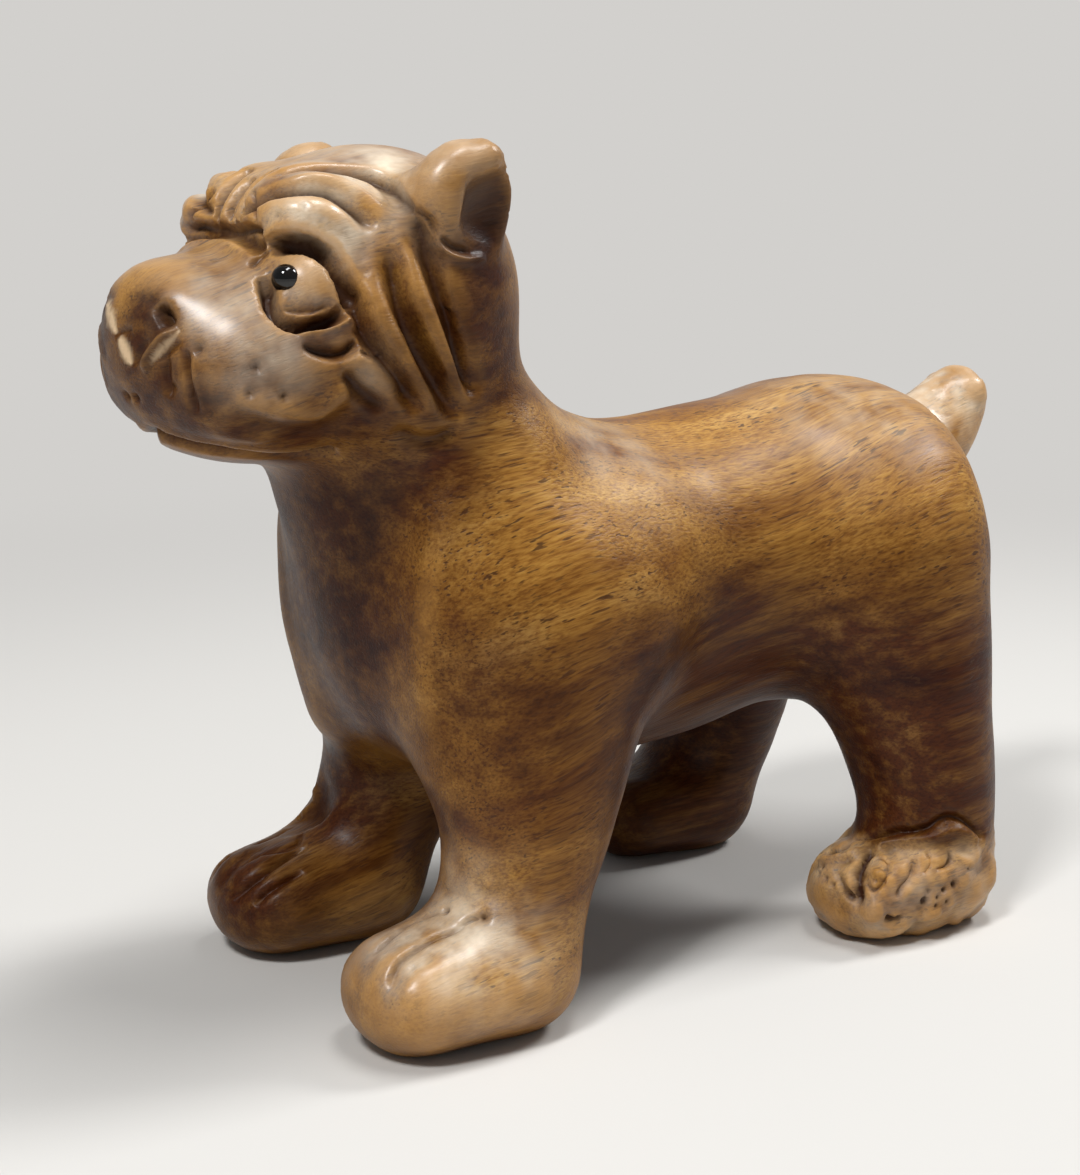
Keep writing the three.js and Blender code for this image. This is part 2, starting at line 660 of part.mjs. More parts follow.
function carvedBody() {
  const halfWidth = Math.max(HIND_STANCE + HIND_PAW_WIDTH, FRONT_STANCE + FRONT_PAW_WIDTH) / 2;
  const nose = -HEAD_AHEAD - NOSE_REACH;
  const tailEnd = WHEELBASE + RUMP_OVERHANG + TAIL_LENGTH;
  const earTop = CROWN_HEIGHT + EAR_HEIGHT / 2;
  const xs = gridLines(-halfWidth - SIDE_CELL, [[halfWidth + SIDE_CELL, SIDE_CELL]]);
  const ys = gridLines(nose - 2 * FACE_CELL, [
    [HEAD_LENGTH / 2 - HEAD_AHEAD, FACE_CELL],
    [tailEnd + BODY_CELL, BODY_CELL],
  ]);
  const zs = gridLines(0, [
    [FRONT_PAW_HEIGHT, PAW_CELL],
    [CROWN_HEIGHT - CHIN_DROP - 2 * FACE_CELL, BODY_CELL],
    [earTop, FACE_CELL],
  ]);
  zs.unshift(-PAW_CELL);
  const form = carvedForm();
  let solid = toSolid(surfaceOf(form, xs, ys, zs));
  for (const { points, width } of [...faceLines(), ...toeLines()]) {
    solid = solid.subtract(toSolid(groove(form, points, width)));
  }
  for (const side of [1, -1]) solid = solid.subtract(toSolid(beadGeometry(side, BEAD_CLEARANCE)));
  return toGeometry(solid);
}

const wood = new THREE.MeshStandardMaterial({ color: 0xa8743f, roughness: 0.38, metalness: 0 });
const horn = new THREE.MeshStandardMaterial({ color: 0x0a0908, roughness: 0.08, metalness: 0 });

const dog = new THREE.Group();

function addPiece(name, geometry, material) {
  const mesh = new THREE.Mesh(geometry, material);
  mesh.name = name;
  dog.add(mesh);
}

addPiece("carved_body", carvedBody(), wood);
addPiece("left_eye_bead", beadGeometry(1, 0), horn);
addPiece("right_eye_bead", beadGeometry(-1, 0), horn);

// The origin goes to the middle of the footprint.
const box = new THREE.Box3().setFromObject(dog);
dog.position.set(-(box.min.x + box.max.x) / 2, -(box.min.y + box.max.y) / 2, -box.min.z);

export default dog;
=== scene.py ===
# The looks of a small standing dog carved from one block of hardwood, with two black eye beads.
# The dog is carved in millimetres, and its mesh is turned to metres when it is finished. The beads, lamps,
# floor and camera are placed in metres.
import math

import bmesh
import bpy
import numpy as np
from mathutils import Matrix, Vector, noise
from mathutils.bvhtree import BVHTree
from mathutils.kdtree import KDTree


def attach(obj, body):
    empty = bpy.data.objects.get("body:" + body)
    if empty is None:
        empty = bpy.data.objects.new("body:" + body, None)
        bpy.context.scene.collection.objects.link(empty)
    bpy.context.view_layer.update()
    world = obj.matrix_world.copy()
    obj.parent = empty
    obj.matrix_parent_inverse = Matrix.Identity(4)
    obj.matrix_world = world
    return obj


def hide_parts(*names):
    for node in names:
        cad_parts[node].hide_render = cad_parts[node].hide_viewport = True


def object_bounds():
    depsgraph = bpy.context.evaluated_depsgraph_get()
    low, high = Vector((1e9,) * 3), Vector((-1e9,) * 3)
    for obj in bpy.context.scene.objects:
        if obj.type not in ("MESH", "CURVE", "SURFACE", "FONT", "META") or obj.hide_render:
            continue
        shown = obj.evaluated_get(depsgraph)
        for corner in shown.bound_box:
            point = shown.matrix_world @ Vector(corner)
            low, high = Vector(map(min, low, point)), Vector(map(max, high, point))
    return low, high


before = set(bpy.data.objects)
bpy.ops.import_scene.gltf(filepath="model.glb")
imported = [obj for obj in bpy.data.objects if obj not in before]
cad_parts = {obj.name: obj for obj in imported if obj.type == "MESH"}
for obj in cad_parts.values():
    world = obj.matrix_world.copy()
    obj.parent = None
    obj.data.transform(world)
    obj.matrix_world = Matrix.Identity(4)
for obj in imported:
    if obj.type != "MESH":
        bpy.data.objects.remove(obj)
cad_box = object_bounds()

MM = 0.001
CARVING = "carved_body"
BEADS = {"left_eye_bead": 1, "right_eye_bead": -1}

EYEBALL = 3.45  # its radius
EYE_CENTRE = (7.7, -35.8, 60.2)
BEAD = 1.1  # its radius
BEAD_OUT = 3.1  # from the middle of the eyeball to the middle of the bead
GAZE = Vector((0.41, -0.83, 0.37)).normalized()

SKIN = 0.62  # side of the small squares that the rough block is made of
BODY_START = -12  # ahead of this the block keeps all the CAD's forms, and behind the blend they are evened
BODY_BLEND = 8

HEAD_MIDDLE = (0, -34, 60)
HEAD_REACH = 24  # the head's own finish, its painted shade among it, has faded out this far from its middle
HEAD_BLEND = 5

KNOT_MIDDLE = (16, 22, 4)
KNOT_REACH = (9, 11, 8)
KNOT_TOP = 9.5
KNOT_BLEND = 1.5

# The left front paw stands ahead of the right one, and the left hind paw behind the right one.
FRONT_STEP = 2.6
HIND_STEP = -2.0

# The camera of the photograph, in the part's frame. Its picture is 1080 by 1175.
VIEWPOINT = Vector((153.29, -122.91, 69.30))
HEADING = math.radians(53.11)
DOWN = math.radians(10.73)
PICTURE = (1080, 1175)
FOCUS = 2200
SENSOR = 36
AHEAD = Vector((-math.sin(HEADING) * math.cos(DOWN), math.cos(HEADING) * math.cos(DOWN), -math.sin(DOWN)))
RIGHT = Vector((math.cos(HEADING), math.sin(HEADING), 0))
UP = RIGHT.cross(AHEAD)

LAMPS_FACE = Vector((0, 0, 0.03))  # in metres

# Patterns in the wood, in waves per millimetre
WANDER = 0.03  # the grain drifts over 33 mm
BANDS = 0.2  # growth bands about 5 mm apart
FIBRES = 4.6  # 0.2 mm apart
HEART_STREAKS = 0.9  # 1 mm wide
PORES = 4.2  # 0.2 mm wide
PORE_DRIFTS = 0.35  # patches 3 mm wide with more and fewer pores
BLOTCHES = 0.3  # 3 mm wide, where the wood is rubbed more and less


def sight(px, py):
    """The direction in which a pixel of the photograph looks."""
    across = (px - PICTURE[0] / 2) / FOCUS
    down = (py - PICTURE[1] / 2) / FOCUS
    return (AHEAD + RIGHT * across - UP * down).normalized()


# Meshes

def mesh_piece(name, bm):
    mesh = bpy.data.meshes.new(name)
    bm.to_mesh(mesh)
    bm.free()
    piece = bpy.data.objects.new(name, mesh)
    bpy.context.scene.collection.objects.link(piece)
    return piece


def applied(piece):
    """Makes the piece's modifiers part of its mesh."""
    graph = bpy.context.evaluated_depsgraph_get()
    mesh = bpy.data.meshes.new_from_object(piece.evaluated_get(graph))
    piece.modifiers.clear()
    old = piece.data
    piece.data = mesh
    bpy.data.meshes.remove(old)


def shade_smooth(piece):
    piece.data.polygons.foreach_set("use_smooth", [True] * len(piece.data.polygons))


def read_spots(mesh):
    spots = np.empty(len(mesh.vertices) * 3)
    mesh.vertices.foreach_get("co", spots)
    return spots.reshape(-1, 3)


def write_spots(mesh, spots):
    mesh.vertices.foreach_set("co", spots.ravel())
    mesh.update()


def read_normals(mesh):
    normals = np.empty(len(mesh.vertices) * 3)
    mesh.vertex_normals.foreach_get("vector", normals)
    return normals.reshape(-1, 3)


def evened(mesh, spots, passes, how_much=1.0, keeps_size=True):
    """The spots of a mesh, evened out. `how_much` may be a number for each vertex."""
    edges = np.empty(len(mesh.edges) * 2, int)
    mesh.edges.foreach_get("vertices", edges)
    edges = edges.reshape(-1, 2)
    own, other = np.concatenate([edges, edges[:, ::-1]]).T
    count = np.bincount(own, minlength=len(spots))[:, None]
    how_much = np.broadcast_to(how_much, len(spots))[:, None]
    for turn in range(passes):
        # Every other pass swells what the last one shrank, so that round forms keep their size.
        share = -0.53 if keeps_size and turn % 2 else 0.5
        sums = [np.bincount(own, column[other], len(spots)) for column in spots.T]
        spots = spots + (np.stack(sums, 1) / count - spots) * share * how_much
    return spots


def ramp(values, start, end):
    """0 where a value is at `start` or before it, 1 at `end` or past it, and even between them."""
    return np.clip((values - start) / (end - start), 0, 1)


def rough_block():
    """The CAD carving and full round eyeballs, as one even skin of small squares, still in millimetres."""
    bm = bmesh.new()
    bm.from_mesh(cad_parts[CARVING].data)
    bmesh.ops.scale(bm, vec=(1 / MM,) * 3, verts=bm.verts)
    bmesh.ops.remove_doubles(bm, verts=bm.verts, dist=0.001)
    bmesh.ops.recalc_face_normals(bm, faces=bm.faces)
    bmesh.ops.join_triangles(bm, faces=bm.faces, angle_face_threshold=0.7, angle_shape_threshold=0.7)
    block = mesh_piece("carved_dog", bm)
    block.modifiers.new("rounding", "SUBSURF").levels = 2
    applied(block)
    bm = bmesh.new()
    bm.from_mesh(block.data)
    for side in (1, -1):
        place = Matrix.Translation((side * EYE_CENTRE[0], EYE_CENTRE[1], EYE_CENTRE[2]))
        bmesh.ops.create_icosphere(bm, subdivisions=4, radius=EYEBALL, matrix=place)
    bm.to_mesh(block.data)
    bm.free()
    skin = block.modifiers.new("skin", "REMESH")
    skin.mode = "VOXEL"
    skin.voxel_size = SKIN
    applied(block)
    return block


def quartered(block, paths, reach):
    """Cuts the squares within reach of some paths into quarters, for fine carving."""
    spots = [spot for path in paths for spot in path]
    tree = KDTree(len(spots))
    for i, spot in enumerate(spots):
        tree.insert(spot, i)
    tree.balance()
    bm = bmesh.new()
    bm.from_mesh(block.data)
    close = {v for v in bm.verts if tree.find(v.co)[2] < reach}
    edges = [e for e in bm.edges if e.verts[0] in close and e.verts[1] in close]
    bmesh.ops.subdivide_edges(bm, edges=edges, cuts=1, use_grid_fill=True, smooth=0.6)
    bm.to_mesh(block.data)
    bm.free()


class Bench:
    """Holds the carving while it is worked. Strokes are drawn first, as paths over the wood, and cut
    later."""

    def __init__(self, block):
        self.block = block
        self.tree = BVHTree.FromObject(block, bpy.context.evaluated_depsgraph_get())
        self.strokes = []

    def seen(self, px, py):
        """The spot on the wood that a pixel of the photograph shows, or None beside the wood."""
        return self.tree.ray_cast(VIEWPOINT, sight(px, py))[0]

    def path(self, marks, step=3):
        """A smooth path over the wood through pixels of the photograph."""
        marks = np.array(marks, float)
        if len(marks) == 1:
            spot = np.array(self.seen(*marks[0]))
            return np.array([spot, spot + 0.001])
        p = np.concatenate([[2 * marks[0] - marks[1]], marks, [2 * marks[-1] - marks[-2]]])
        found = []
        for a, b, c, d in zip(p, p[1:], p[2:], p[3:]):
            count = max(1, int(np.linalg.norm(c - b) / step))
            for t in np.arange(count) / count:
                spot = (2 * b + (c - a) * t + (2 * a - 5 * b + 4 * c - d) * t ** 2
                        + (3 * b - a - 3 * c + d) * t ** 3) / 2
                found.append(self.seen(*spot))
        found.append(self.seen(*marks[-1]))
        return np.array([f for f in found if f is not None])

    def mirrored(self, path, shift):
        """The same path on the dog's other side, and `shift` further back."""
        return np.array([self.tree.find_nearest(Vector((-x, y + shift, z)))[0] for x, y, z in path])

    def stroke(self, marks, width, depth, far=None, fade=0.25, sharp=1.5, flat=0.0, stain=None, shift=0.0,
               twin=1.0):
        """A groove, or with a negative depth a ridge. `width` is the half of it to the left of the path, and
        `far` the other half. `fade` is the share of the path over which each end runs out, and `sharp` makes
        the groove narrower at its floor, which `flat` widens. Its stain, how dark it is painted from 0 to 1,
        is partly dark oil and partly painted shade. `twin` is how much of it the dog's other side has,
        `shift` further back."""
        path = self.path(marks)
        far = far or width
        # Unless it is given, a deeper cut is painted darker, as painted shade.
        stain = min(depth, 1) * 0.8 if stain is None else stain
        self.strokes.append((path, width, far, depth, fade, sharp, flat, stain))
        if twin:
            path = self.mirrored(path, shift)
            self.strokes.append((path, far, width, depth * twin, fade, sharp, flat, stain * twin))

    def pits(self, places, size, depth, **more):
        for place in places:
            self.stroke([place], size, depth, fade=0, **more)

    def refine(self):
        """Gives the skin smaller squares where it is carved finely."""
        for reach, widest in ((1.5, 2.0), (0.5, 0.9)):
            paths = [s[0] for s in self.strokes if min(s[1], s[2]) <= widest and abs(s[3]) > 0.3]
            quartered(self.block, paths, reach)

    def measure(self, path, reach):
        """The vertices within reach of a path, and for each how far off the path it is, on which side of it,
        and how far along it."""
        inside = ((self.spots > path.min(0) - reach) & (self.spots < path.max(0) + reach)).all(1)
        which = np.flatnonzero(inside)
        a, b = path[None, :-1], path[None, 1:]
        d = b - a
        v = self.spots[which][:, None]
        t = np.clip(((v - a) * d).sum(2) / np.maximum((d * d).sum(2), 1e-9), 0, 1)
        foot = a + t[..., None] * d
        off = np.linalg.norm(v - foot, axis=2)
        best = off.argmin(1)
        rows = np.arange(len(which))
        lengths = np.linalg.norm(path[1:] - path[:-1], axis=1)
        run = np.concatenate([[0], np.cumsum(lengths)])
        along = (run[best] + t[rows, best] * lengths[best]) / run[-1]
        away = self.spots[which] - foot[rows, best]
        side = (np.cross(self.normals[which], d[0, best]) * away).sum(1)
        off = off[rows, best]
        keep = off < reach
        return which[keep], off[keep], side[keep], along[keep]

    def carve(self):
        """Takes off and leaves standing what the strokes say."""
        mesh = self.block.data
        self.spots = read_spots(mesh)
        self.normals = read_normals(mesh)
        cut = np.zeros(len(self.spots))
        raised = np.zeros(len(self.spots))
        # How dark each spot is painted: dark oil, and painted shade in the cuts
        stained = np.zeros(len(self.spots))
        for path, width, far, depth, fade, sharp, flat, stain in self.strokes:
            which, off, side, along = self.measure(path, max(width, far))
            half = np.where(side > 0, width, far)
            form = np.clip((1 - off / half) * (1 + flat), 0, 1)
            form = form ** sharp if depth > 0 and not flat else form * form * (3 - 2 * form)
            if fade:
                ends = np.clip(np.minimum(along, 1 - along) / fade, 0, 1)
                form *= ends * (2 - ends)
            store = cut if depth > 0 else raised
            store[which] = np.maximum(store[which], abs(depth) * form)
            stained[which] = np.maximum(stained[which], stain * form ** 2)
        carved = self.spots + self.normals * (raised - cut)[:, None]
        write_spots(mesh, evened(mesh, carved, 8, np.clip(cut / 1.5, 0, 1) * 0.8))
        return stained


def draw_eye(bench):
    stroke = bench.stroke
    # The brow overhangs the eyeball, with a deep dark recess between them.
    stroke([(266, 244), (276, 229), (294, 225), (318, 232), (336, 247), (352, 272), (360, 300)], 1.3, -0.45)
    stroke([(268, 251), (275, 245), (290, 243), (306, 245), (322, 254), (334, 265), (343, 279), (349, 293),
            (352, 307)], 0.95, 1.8, flat=0.6, fade=0.1)
    stroke([(272, 247), (258, 257), (250, 268)], 0.6, 0.5, fade=0.3)
    # The cut below the eyeball leaves a facet that leans under it, and the dark paint in it is painted shade
    # under the eyeball.
    stroke([(262, 276), (265, 292), (270, 308), (281, 321), (299, 329), (319, 327), (336, 320), (348, 311)],
           1.1, 1.6, far=0.5, flat=0.35, fade=0.12, stain=1.0)
    stroke([(276, 306), (296, 311), (318, 310), (337, 304)], 1.1, 0.5, far=0.6, stain=0.6)
    # The bag: its lip, and the cut under it
    stroke([(297, 334), (313, 334), (328, 329), (342, 321), (352, 320), (357, 331)], 0.8, -0.6, fade=0.15)
    stroke([(303, 342), (317, 349), (335, 353), (349, 350), (359, 338)], 0.9, 1.1, fade=0.2)


def draw_folds(bench):
    stroke = bench.stroke
    # Down the side of the head
    stroke([(347, 285), (355, 304), (364, 326), (376, 348), (392, 370), (409, 394), (421, 413)],
           1.3, 1.5, sharp=1.3, fade=0.18)
    stroke([(388, 246), (395, 275), (402, 302), (410, 323), (420, 346), (432, 370), (446, 396), (459, 421)],
           1.45, 1.7, fade=0.2)
    stroke([(404, 208), (417, 228), (430, 255), (440, 283), (449, 312), (459, 345), (468, 372), (478, 396)],
           1.4, 1.6, fade=0.15)
    stroke([(362, 256), (370, 290), (382, 322), (400, 354), (422, 388), (440, 412)], 1.5, -0.45)
    stroke([(404, 240), (414, 280), (428, 318), (444, 354), (462, 394)], 1.4, -0.45)
    # The cheek
    stroke([(357, 351), (374, 356), (392, 369), (406, 386)], 0.8, 0.9)
    stroke([(342, 364), (356, 359), (370, 359), (388, 373), (408, 394)], 1.1, -0.5)
    stroke([(346, 369), (355, 384), (368, 398), (384, 412)], 1.1, 1.0)
    stroke([(392, 430), (419, 441), (440, 438), (462, 425)], 1.2, 0.6)
    # Over the brow
    stroke([(270, 175), (285, 171), (304, 168), (329, 168), (353, 171), (372, 176), (389, 187), (402, 203),
            (416, 222)], 1.0, 1.0, fade=0.12, sharp=1.2)
    stroke([(236, 214), (246, 206), (260, 200), (276, 193), (298, 189), (320, 189), (340, 198), (357, 212),
            (374, 231)], 1.0, 1.0, fade=0.12, sharp=1.2)
    stroke([(250, 216), (275, 209), (300, 207), (325, 214), (345, 234)], 1.7, -0.4)
    stroke([(285, 182), (315, 178), (345, 184), (368, 200), (388, 225)], 1.1, -0.35)
    # Between the brows
    stroke([(213, 226), (214, 212), (223, 193), (236, 178), (252, 168)], 0.8, 0.9, fade=0.15)
    stroke([(226, 224), (230, 207), (239, 192), (254, 178)], 0.7, 0.8, fade=0.2)
    stroke([(187, 226), (190, 213), (201, 200), (215, 189)], 0.7, 0.7, fade=0.2)
    # Where the forehead stops over the muzzle
    stroke([(181, 231), (190, 228), (208, 227), (222, 228), (238, 233), (252, 242), (265, 250)],
           0.9, 1.3, fade=0.1, sharp=1.2)


def draw_muzzle(bench):
    stroke, pits = bench.stroke, bench.pits
    stroke([(196, 268), (214, 260), (235, 250)], 0.7, 0.2)
    stroke([(232, 394), (262, 403), (289, 411), (318, 412), (338, 397), (347, 379)], 1.5, -0.6, fade=0.15)
    stroke([(228, 418), (262, 428), (292, 434), (325, 430), (352, 410)], 2.2, 0.6, stain=0.45, sharp=1)
    pits([(198, 349), (257, 368), (250, 394), (284, 397), (135, 398), (171, 388)], 0.75, 0.55)
    pits([(279, 215), (305, 208), (363, 246), (366, 272), (371, 304)], 0.42, 0.3)
    # The nose: the upper edge of its pad, the nostril and its wing, and the cuts beside them
    stroke([(126, 296), (144, 297), (160, 303)], 0.5, 0.3, far=1.2)
    stroke([(158, 305), (165, 315), (170, 327)], 0.8, 1.5, fade=0.35, sharp=1.1, twin=0.4)
    stroke([(178, 331), (164, 337), (152, 352), (142, 370)], 0.5, -0.8, fade=0.3, twin=0.3)
    stroke([(115, 335), (123, 331), (132, 330)], 0.4, 0.4, twin=0)
    stroke([(181, 341), (170, 349), (160, 363)], 0.5, 0.5, fade=0.3, twin=0.4)
    stroke([(148, 338), (140, 352), (133, 366)], 0.5, 0.4, fade=0.3, twin=0.4)
    stroke([(186, 348), (186, 372), (191, 394), (197, 414)], 0.6, 0.7, fade=0.2)
    stroke([(166, 356), (166, 376), (171, 398)], 0.6, 0.6, fade=0.2)
    # The mouth
    mouth = [(148, 431), (162, 438), (180, 444), (213, 451), (244, 455), (268, 457), (298, 456),
             (336, 450)]
    stroke(mouth, 1.0, 1.3, far=1.3, fade=0.06, stain=1.0)
    # A dark band painted along both lips of it is painted shade.
    stroke(mouth, 0.9, 0.02, far=0.8, fade=0.06, flat=0.8, stain=1.0)


def draw_ear(bench):
    stroke = bench.stroke
    stroke([(388, 193), (403, 208), (419, 216), (431, 227), (436, 243)], 0.9, 0.8)
    stroke([(480, 150), (490, 153), (496, 166)], 2.6, -0.6)
    stroke([(491, 166), (485, 202), (478, 242)], 3.0, 0.7, far=3.3, flat=1.0, fade=0.35, stain=0.25)
    stroke([(432, 240), (448, 253), (466, 259), (487, 256)], 0.6, -0.45)
    stroke([(440, 236), (452, 247), (470, 251)], 0.5, 0.5)


def draw_paws(bench):
    stroke, pits = bench.stroke, bench.pits
    # The left front paw's toes, and the same on the right one
    stroke([(474, 919), (458, 929), (434, 938), (417, 949), (402, 962), (394, 976), (393, 990)], 0.6, 0.45,
           shift=FRONT_STEP, stain=0.5, sharp=1.2)
    stroke([(444, 911), (430, 915), (410, 924), (390, 938), (372, 956)], 0.55, 0.4, shift=FRONT_STEP,
           fade=0.2, stain=0.45, sharp=1.2)
    stroke([(484, 917), (470, 920), (458, 928)], 0.5, 0.5, shift=FRONT_STEP, fade=0.3)
    pits([(445, 910), (483, 917)], 0.7, 0.8, shift=FRONT_STEP, stain=1.0)
    stroke([(434, 886), (455, 893), (480, 893), (510, 888)], 1.8, 0.35, shift=FRONT_STEP, stain=0)
    pits([(470, 890), (489, 885)], 0.9, -0.3, shift=FRONT_STEP)
    # The right front paw's inner side
    stroke([(310, 846), (293, 852), (276, 863), (262, 874), (246, 887), (233, 902)], 0.8, 0.8, twin=0)
    stroke([(304, 872), (286, 881), (268, 892), (254, 906)], 0.7, 0.6, twin=0)
    stroke([(312, 766), (311, 788), (311, 806), (316, 824)], 3.6, 1.5, sharp=1.0, fade=0.3, twin=0)
    # The hind paws' toes
    stroke([(874, 843), (866, 856), (861, 870), (858, 888), (858, 912)], 1.0, 1.0, shift=HIND_STEP)
    stroke([(915, 858), (911, 874), (903, 886), (898, 900)], 0.8, 0.6, shift=HIND_STEP)


def draw_knot(bench):
    """The left hind foot is cut from a gnarled knot in the wood."""
    stroke, pits = bench.stroke, bench.pits
    stroke([(815, 853), (824, 852), (842, 849), (853, 841), (869, 838), (880, 835), (897, 832), (913, 832),
            (928, 829), (940, 821), (951, 818), (963, 821), (974, 829), (984, 839)],
           0.8, 0.8, far=0.3, fade=0.05, twin=0)
    stroke([(816, 862), (842, 858), (872, 848), (900, 842), (930, 838), (956, 830), (978, 842)],
           0.8, -0.5, fade=0.05, twin=0)
    stroke([(836, 870), (842, 886), (852, 898), (866, 904)], 0.6, 0.6, twin=0)
    stroke([(948, 848), (952, 858), (946, 866), (934, 870)], 0.5, 0.45, twin=0)
    stroke([(926, 852), (930, 864), (922, 876)], 0.45, 0.4, twin=0)
    stroke([(868, 862), (878, 858), (888, 866), (884, 882), (874, 890), (866, 880), (868, 862)],
           0.4, 0.4, twin=0)
    stroke([(884, 918), (895, 922), (906, 917)], 0.7, 0.8, twin=0)
    pits([(873, 914), (930, 915)], 1.5, -0.5, twin=0)
    pits([(878, 874)], 0.8, -0.5, twin=0)
    pits([(930, 890), (938, 898), (945, 890), (936, 906), (926, 901), (948, 902)], 0.5, 0.45, twin=0)
    pits([(822, 866), (826, 878), (818, 874), (832, 884), (956, 884), (968, 868)], 0.5, 0.45, twin=0)


def draw_tail(bench):
    stroke = bench.stroke
    stroke([(974, 376), (979, 388), (979, 402)], 2.4, -0.45)
    for low in (0, 7, 14, 21, 29, 37):
        stroke([(918 + low / 2, 385 + low), (940 + low / 3, 373 + low), (966, 368 + low)],
               0.4, 0.3, stain=0.1)


def draw_body(bench):
    stroke = bench.stroke
    # The flank is nearly flat behind the shoulder.
    stroke([(600, 440), (640, 480), (671, 517), (684, 580), (668, 650), (645, 720)], 8.0, -0.9, fade=0.4)
    # The edge between the side and the chest
    stroke([(470, 455), (446, 510), (431, 565), (423, 640), (428, 700), (446, 760)], 3.0, -0.35, fade=0.3)


def wavering(spots, length, seed=0):
    """Smooth noise between about -1 and 1 at each spot, with waves of a given length."""
    return np.array([noise.noise(Vector(spot) / length + Vector((seed, 0, 0))) for spot in spots])


def near(spots, places, sides=(1, -1)):
    """How near each spot is to any of some places, from 0 to 1. A place is a pixel, a reach and a strength.
    With both sides, the same places count on the dog's other side."""
    share = np.zeros(len(spots))
    for px, py, reach, strength in places:
        middle = np.array(bench.seen(px, py))
        for side in sides:
            off = np.linalg.norm(spots - middle * [side, 1, 1], axis=1) / reach
            share = np.maximum(share, strength * np.exp(-off ** 2))
    return share


# The carving

dog = rough_block()
spots = read_spots(dog.data)
on_body = ramp(spots[:, 1], BODY_START, BODY_START + BODY_BLEND)
spots = evened(dog.data, evened(dog.data, spots, 12), 80, on_body)
write_spots(dog.data, spots)
# A peg left standing where the lid's cut meets the first fold is pared away.
peg = np.array(Bench(dog).seen(363, 329))
off = np.minimum(*(np.linalg.norm(spots - peg * [side, 1, 1], axis=1) for side in (1, -1)))
write_spots(dog.data, evened(dog.data, spots, 80, np.exp(-(off / 1.7) ** 4), keeps_size=False))
bench = Bench(dog)
for draw in (draw_eye, draw_folds, draw_muzzle, draw_ear, draw_paws, draw_knot, draw_tail, draw_body):
    draw(bench)
bench.refine()
stained = bench.carve()

# The knife leaves the wood a little uneven, and the knot in the hind foot is rough.
spots = read_spots(dog.data)
normals = read_normals(dog.data)
under_knot_top = ramp(spots[:, 2] - wavering(spots, 3), KNOT_TOP, KNOT_TOP - KNOT_BLEND)
in_knot = np.exp(-((spots - KNOT_MIDDLE) / KNOT_REACH) ** 6).prod(1) * under_knot_top
gnarled = 0.55 * wavering(spots, 2.8, 5) + 0.25 * wavering(spots, 1.1, 9)
uneven = 0.1 * wavering(spots, 5.5) + in_knot * gnarled
spots = evened(dog.data, spots + normals * uneven[:, None], 1, 0.6)
# The soles stand flat, and nothing reaches past the CAD part's own sizes.
spots = np.clip(spots, np.array(cad_box[0]) / MM, np.array(cad_box[1]) / MM)
write_spots(dog.data, spots)

# The finish and the painted light and shade, as numbers from 0 to 1 on the carving. Cuts are hollow and
# ridges the opposite.
soft = evened(dog.data, spots, 6, keeps_size=False)
hollow = ((soft - spots) * read_normals(dog.data)).sum(1)
hollow = evened(dog.data, hollow[:, None], 2, keeps_size=False)[:, 0]
back, height = spots[:, 1], spots[:, 2]
on_head = ramp(np.linalg.norm(spots - HEAD_MIDDLE, axis=1), HEAD_REACH, HEAD_REACH - HEAD_BLEND)
in_front = ramp(back, -10, -18)
# Low on the body and on the head the wood is painted darker, partly as heartwood and partly as painted
# shade.
low_on_body = ramp(height, 42, 28) * (0.95 - 0.35 * in_front)
low_on_head = ramp(height, 65, 54) * 0.55
golden = np.maximum(near(spots, [(450, 965, 9, 1), (500, 985, 8, 1)], sides=[1]), in_knot)

# Darker, redder wood: partly heartwood, and partly painted shade on the nose, lips, chest, front legs, neck,
# flank and thigh, between the folds and behind them.
heartwood_and_shade = np.maximum(low_on_body * (1 - on_head) + low_on_head * on_head, near(spots, [
    # The nose
    (142, 312, 2.5, 1), (158, 322, 2.2, 1), (140, 345, 3, 1), (128, 370, 3, 0.9), (160, 385, 3.5, 0.95),
    # The lips and the cheek over them
    (150, 405, 4, 1), (190, 425, 4, 1), (200, 402, 3.5, 0.9), (240, 432, 4, 1), (280, 400, 4.5, 0.5),
    (300, 440, 5, 1), (360, 425, 5, 0.9), (380, 425, 4, 0.8),
    # The bag under the eye, and between the folds
    (325, 345, 2, 0.5), (392, 345, 3, 0.75), (418, 320, 3, 0.7), (425, 370, 4, 0.85), (452, 380, 4, 0.85),
    (440, 415, 4, 0.8),
    # Behind the folds, and the foot and the dish of the ear
    (490, 225, 6, 1), (490, 270, 6, 1), (480, 320, 6, 1), (500, 350, 7, 1), (480, 400, 5, 0.7),
    (462, 245, 2.5, 0.8), (487, 205, 3, 0.3),
    # The chest and the front leg
    (330, 520, 9, 1), (345, 620, 12, 1), (344, 705, 8, 1), (400, 480, 8, 0.9), (440, 468, 5, 1),
    (480, 690, 8, 0.8), (440, 820, 5, 1),
    # The flank, behind the elbow, and the thigh
    (730, 630, 9, 1), (560, 720, 7, 0.8), (860, 640, 8, 0.6)]))
# The right front leg and paw, and the inner side of the left leg
heartwood_and_shade = np.maximum(heartwood_and_shade, near(spots, [
    (245, 885, 14, 1), (340, 795, 11, 1), (520, 760, 8, 0.7)], sides=[1]))
heartwood_and_shade *= 1 - 0.9 * golden

